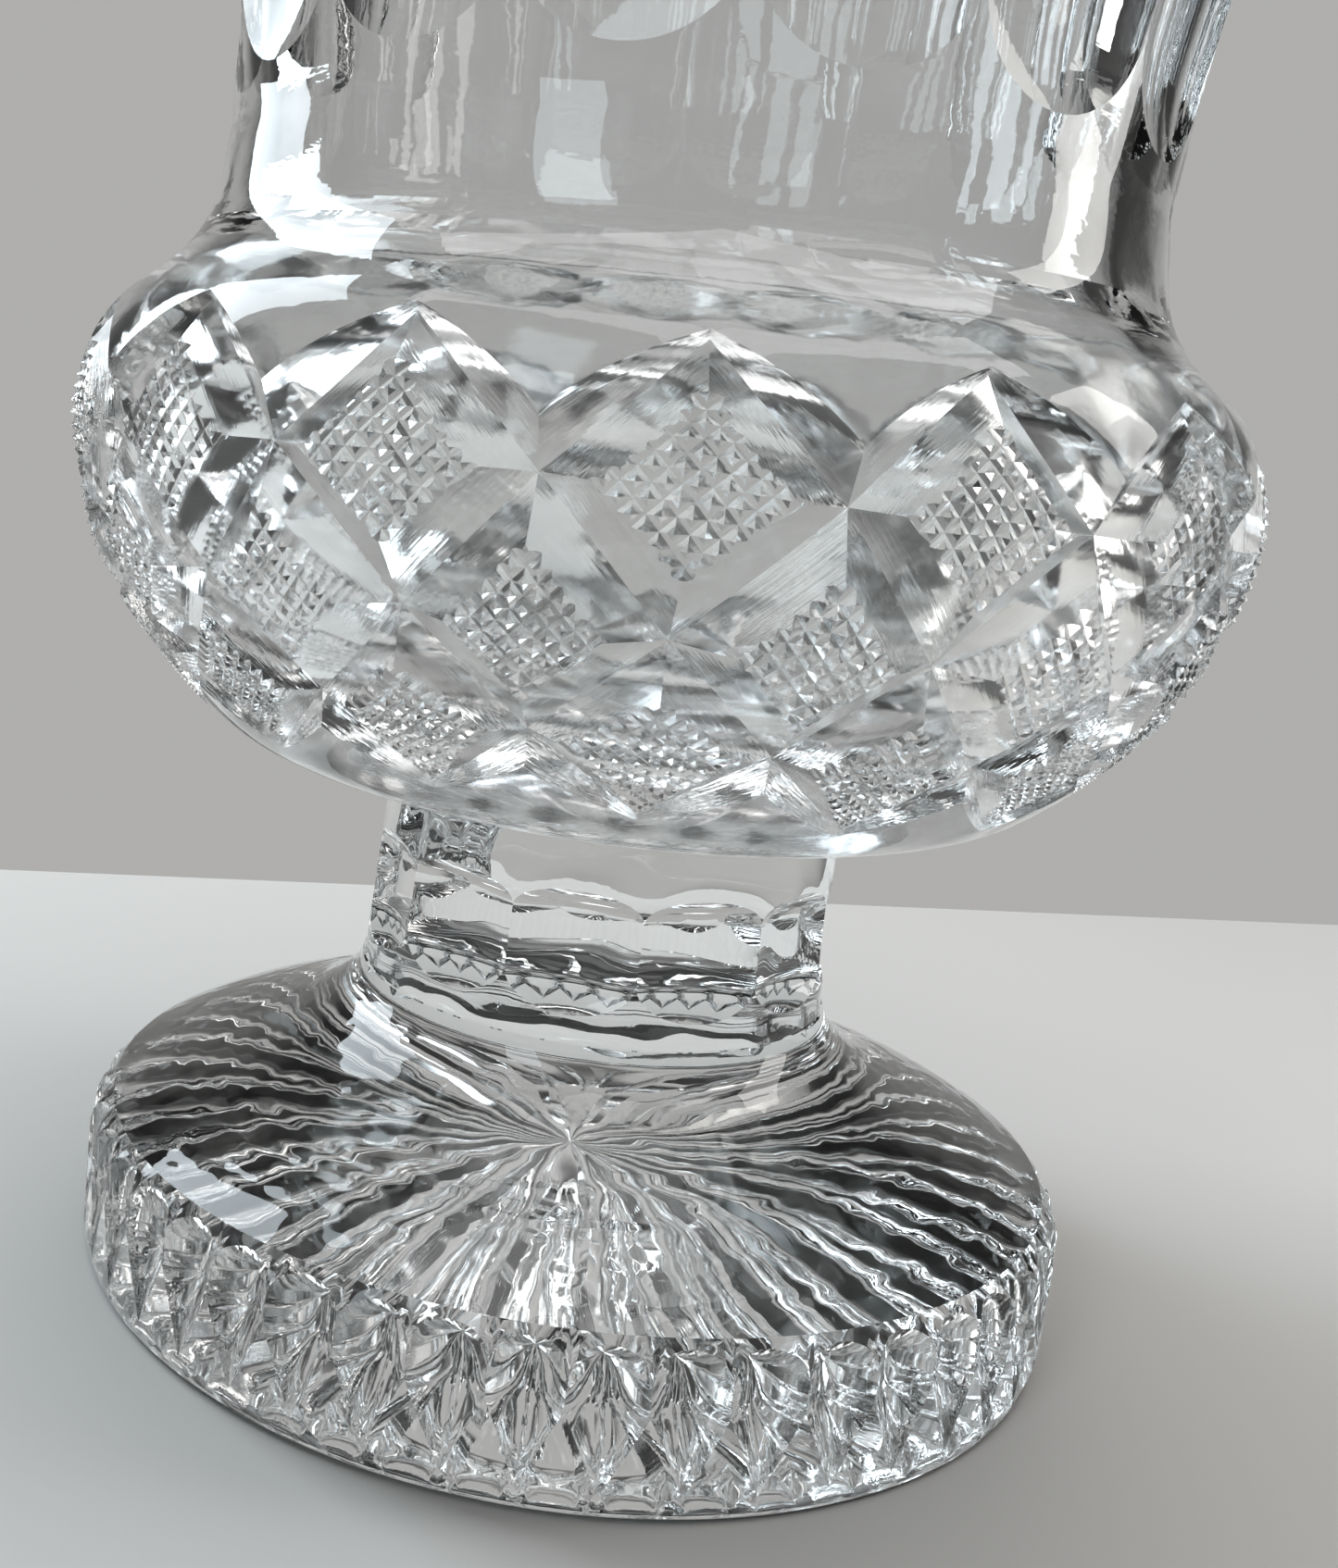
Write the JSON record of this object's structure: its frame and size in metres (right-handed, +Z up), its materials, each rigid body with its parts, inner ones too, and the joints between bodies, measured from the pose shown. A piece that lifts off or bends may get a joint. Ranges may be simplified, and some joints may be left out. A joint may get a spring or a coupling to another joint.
{
  "type": "cut crystal vase",
  "caption": "Footed cut crystal vase with a diamond-cut bulb, a tall fluted neck, a thumb-cut stem and a heavy fluted foot, for holding cut flowers.",
  "frame": {"origin": "centre of the foot's resting plane, on the vase's axis", "axes": "+Z up along the axis, out of the mouth; -Y is the front, through a tip of the diamond band; +X is to the right of the front"},
  "size_m": [0.1784, 0.1784, 0.28],
  "materials": {
    "bowl_crystal": "clear lead crystal, wheel cut and polished",
    "stem_crystal": "clear lead crystal, wheel cut and polished",
    "foot_crystal": "clear lead crystal, wheel cut and polished"
  },
  "bodies": {
    "root": {"bowl": "bowl_crystal", "stem": "stem_crystal", "foot": "foot_crystal"}
  },
  "joints": []
}
